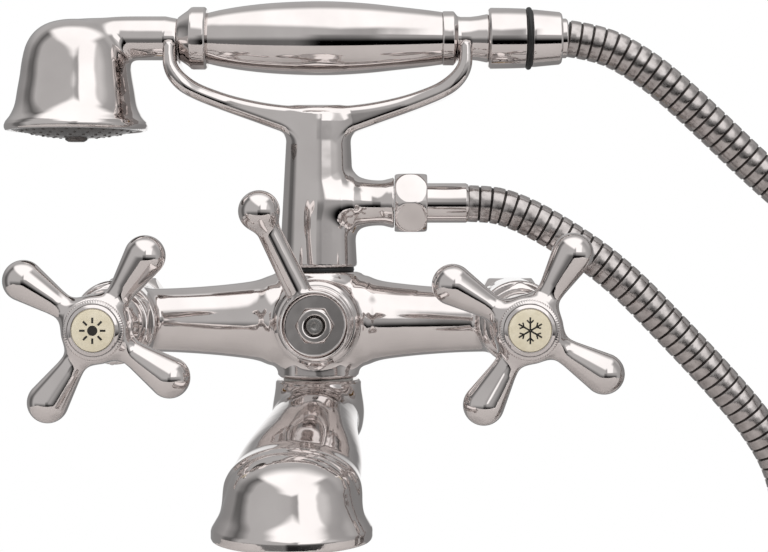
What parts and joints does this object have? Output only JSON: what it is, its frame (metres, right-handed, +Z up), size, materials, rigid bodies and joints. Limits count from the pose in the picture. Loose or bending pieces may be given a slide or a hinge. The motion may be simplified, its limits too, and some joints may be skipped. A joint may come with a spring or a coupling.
{
  "type": "shower mixer tap",
  "caption": "Wall-mounted bath and shower mixer with cross handles, diverter lever, swivel bell spout and a cradled handset on a metal hose.",
  "frame": {"origin": "midway between the two wall inlets, on the plane of their union nuts' open faces", "axes": "+X to the user's right along the inlets, +Y into the wall, +Z up"},
  "size_m": [0.4443, 0.1658, 0.2963],
  "materials": {
    "chrome": "polished chrome plate",
    "hose_steel": "chromed wound strip",
    "brass": "machined brass",
    "steel": "plain stainless steel",
    "seal_rubber": "matt black rubber",
    "ceramic": "lapped alumina ceramic",
    "index_cream": "glazed cream porcelain",
    "plastic_white": "moulded acetal",
    "spray_face": "chromed spray face"
  },
  "bodies": {
    "body": {"mixer_body": "chrome", "hot_union_nut": "chrome", "cold_union_nut": "chrome", "hot_inlet_tail": "brass", "cold_inlet_tail": "brass", "hot_inlet_washer": "seal_rubber", "cold_inlet_washer": "seal_rubber", "hot_headwork": "chrome", "cold_headwork": "chrome", "hot_seat_seal": "seal_rubber", "cold_seat_seal": "seal_rubber", "hot_fixed_disc": "ceramic", "cold_fixed_disc": "ceramic", "diverter_gland": "chrome", "column_cradle": "chrome", "column_nipple": "brass", "column_seal": "seal_rubber", "spout_nipple": "brass", "hose_nut": "chrome", "outlet_washer": "seal_rubber", "hose_ferrule": "chrome", "hose_lower": "hose_steel", "hose_coil": "hose_steel", "hose_upper": "hose_steel"},
    "hot_valve": {"hot_handle": "chrome", "hot_handle_screw": "steel", "hot_index_cap": "chrome", "hot_index": "index_cream", "hot_spindle": "brass", "hot_spindle_seal": "seal_rubber", "hot_moving_disc": "ceramic"},
    "cold_valve": {"cold_handle": "chrome", "cold_handle_screw": "steel", "cold_index_cap": "chrome", "cold_index": "index_cream", "cold_spindle": "brass", "cold_spindle_seal": "seal_rubber", "cold_moving_disc": "ceramic"},
    "diverter": {"diverter_lever": "chrome", "diverter_nut": "chrome", "diverter_spindle": "brass", "diverter_seals": "seal_rubber"},
    "spout": {"spout": "chrome", "spout_seals": "seal_rubber", "spout_joint_ring": "plastic_white", "spout_grub_screw": "steel", "spout_straightener": "plastic_white"},
    "handset": {"handset_head": "chrome", "spray_plate": "spray_face", "spray_screw": "chrome", "front_collar": "chrome", "grip": "chrome", "handset_tube": "brass", "rear_collar": "chrome", "handset_union": "chrome", "hose_seal": "seal_rubber", "cone_nut": "chrome", "hose_top_washer": "seal_rubber", "hose_top_ferrule": "chrome"}
  },
  "joints": [
    {"name": "hot_valve_turn", "type": "hinge", "parent": "body", "child": "hot_valve", "pos_m": [-0.075, -0.04, 0], "axis": [0, -1, 0], "range_deg": [0, 90]},
    {"name": "cold_valve_turn", "type": "hinge", "parent": "body", "child": "cold_valve", "pos_m": [0.075, -0.04, 0], "axis": [0, -1, 0], "range_deg": [-90, 0]},
    {"name": "diverter_turn", "type": "hinge", "parent": "body", "child": "diverter", "pos_m": [0, -0.04, 0], "axis": [0, -1, 0], "range_deg": [-51.4, 0]},
    {"name": "spout_swivel", "type": "hinge", "parent": "body", "child": "spout", "pos_m": [0, -0.04, -0.03], "axis": [0, 0, 1], "range_deg": [-30, 30]},
    {"name": "handset_lift", "type": "slide", "parent": "body", "child": "handset", "axis": [0, 0, 1], "range_m": [0, 0.06]}
  ]
}
